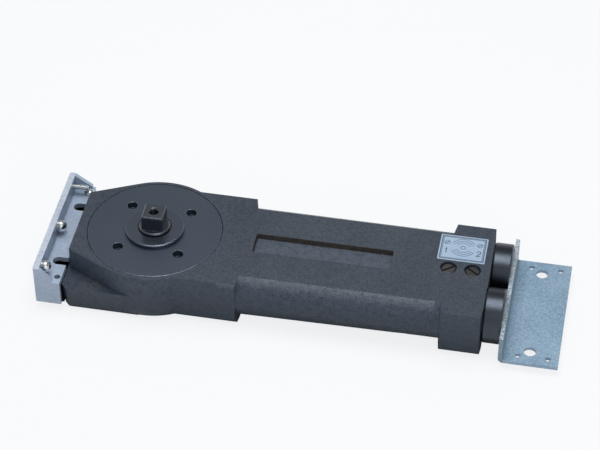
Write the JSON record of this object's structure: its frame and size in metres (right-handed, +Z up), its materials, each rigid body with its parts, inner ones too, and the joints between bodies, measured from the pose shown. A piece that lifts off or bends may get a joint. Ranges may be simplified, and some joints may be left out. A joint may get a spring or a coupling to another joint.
{
  "type": "floor spring door closer",
  "caption": "Low floor spring with twin spring barrels, a round head with a square drive spindle, and a fixing bracket at each end.",
  "frame": {"origin": "on the spindle's axis, level with the underside of the iron shell", "axes": "+X along the barrels from the spindle to the end caps, +Z up along the spindle, -Y towards the front of the picture"},
  "size_m": [0.3405, 0.0952, 0.0535],
  "materials": {
    "cast_shell": "dark slate satin, milled top and cast sides",
    "cover_plate": "dark slate satin, turned face",
    "turned_steel": "dark turned steel, satin",
    "spindle_steel": "ground steel with pale chamfers",
    "inner_steel": "ground and oiled",
    "bearing_steel": "polished",
    "spring_steel": "dark oiled wire",
    "zinc_plate": "bright zinc plate with a cool tint",
    "galvanised_plate": "galvanised, satin with faint spangle",
    "plated_screw": "bright plated",
    "label_metal": "satin with printed lines",
    "valve_brass": "turned",
    "seal_rubber": "matt black",
    "gasket_sheet": "matt sheet"
  },
  "bodies": {
    "shell": {"body_casting": "cast_shell", "cover_disc": "cover_plate", "cover_gasket": "gasket_sheet", "bearing_collar": "turned_steel", "spindle_seal": "seal_rubber", "upper_bearing_cup": "inner_steel", "upper_bearing_rollers": "bearing_steel", "lower_bearing_cup": "inner_steel", "lower_bearing_rollers": "bearing_steel", "thrust_washer": "valve_brass", "spring_front": "spring_steel", "spring_rear": "spring_steel", "spring_seat_front": "inner_steel", "spring_seat_rear": "inner_steel", "end_cap_front": "turned_steel", "end_cap_rear": "turned_steel", "end_cap_seal_front": "seal_rubber", "end_cap_seal_rear": "seal_rubber", "label_plate": "label_metal", "pivot_end_bracket": "zinc_plate", "bracket_screws": "plated_screw", "adjusting_screw": "plated_screw", "height_screw": "plated_screw", "cap_end_bracket": "galvanised_plate", "cap_bracket_screws": "plated_screw"},
    "drive": {"spindle": "spindle_steel"},
    "front_piston": {"rack_piston_front": "inner_steel", "piston_seal_front": "seal_rubber", "check_valve_front": "valve_brass"},
    "rear_piston": {"rack_piston_rear": "inner_steel", "piston_seal_rear": "seal_rubber", "check_valve_rear": "valve_brass"},
    "closing_speed_valve": {"closing_valve": "plated_screw", "closing_valve_seal": "seal_rubber"},
    "latching_speed_valve": {"latching_valve": "plated_screw", "latching_valve_seal": "seal_rubber"}
  },
  "joints": [
    {"name": "spindle_turn", "type": "hinge", "parent": "shell", "child": "drive", "pos_m": [0, 0, 0], "axis": [0, 0, 1], "range_deg": [-105, 105]},
    {"name": "front_piston_slide", "type": "slide", "parent": "shell", "child": "front_piston", "axis": [1, 0, 0], "range_m": [-0.01649, 0.01649], "deforming": ["spring_front"]},
    {"name": "rear_piston_slide", "type": "slide", "parent": "shell", "child": "rear_piston", "axis": [1, 0, 0], "range_m": [-0.01649, 0.01649], "deforming": ["spring_rear"]},
    {"name": "closing_valve_turn", "type": "hinge", "parent": "shell", "child": "closing_speed_valve", "pos_m": [0.1933, 0, 0], "axis": [0, 0, 1], "range_deg": [-180, 180]},
    {"name": "latching_valve_turn", "type": "hinge", "parent": "shell", "child": "latching_speed_valve", "pos_m": [0.2088, 0, 0], "axis": [0, 0, 1], "range_deg": [-180, 180]}
  ],
  "couplings": [
    {"joint": "front_piston_slide", "follows": "spindle_turn", "m_per_rad": 0.009},
    {"joint": "rear_piston_slide", "follows": "spindle_turn", "m_per_rad": -0.009}
  ]
}
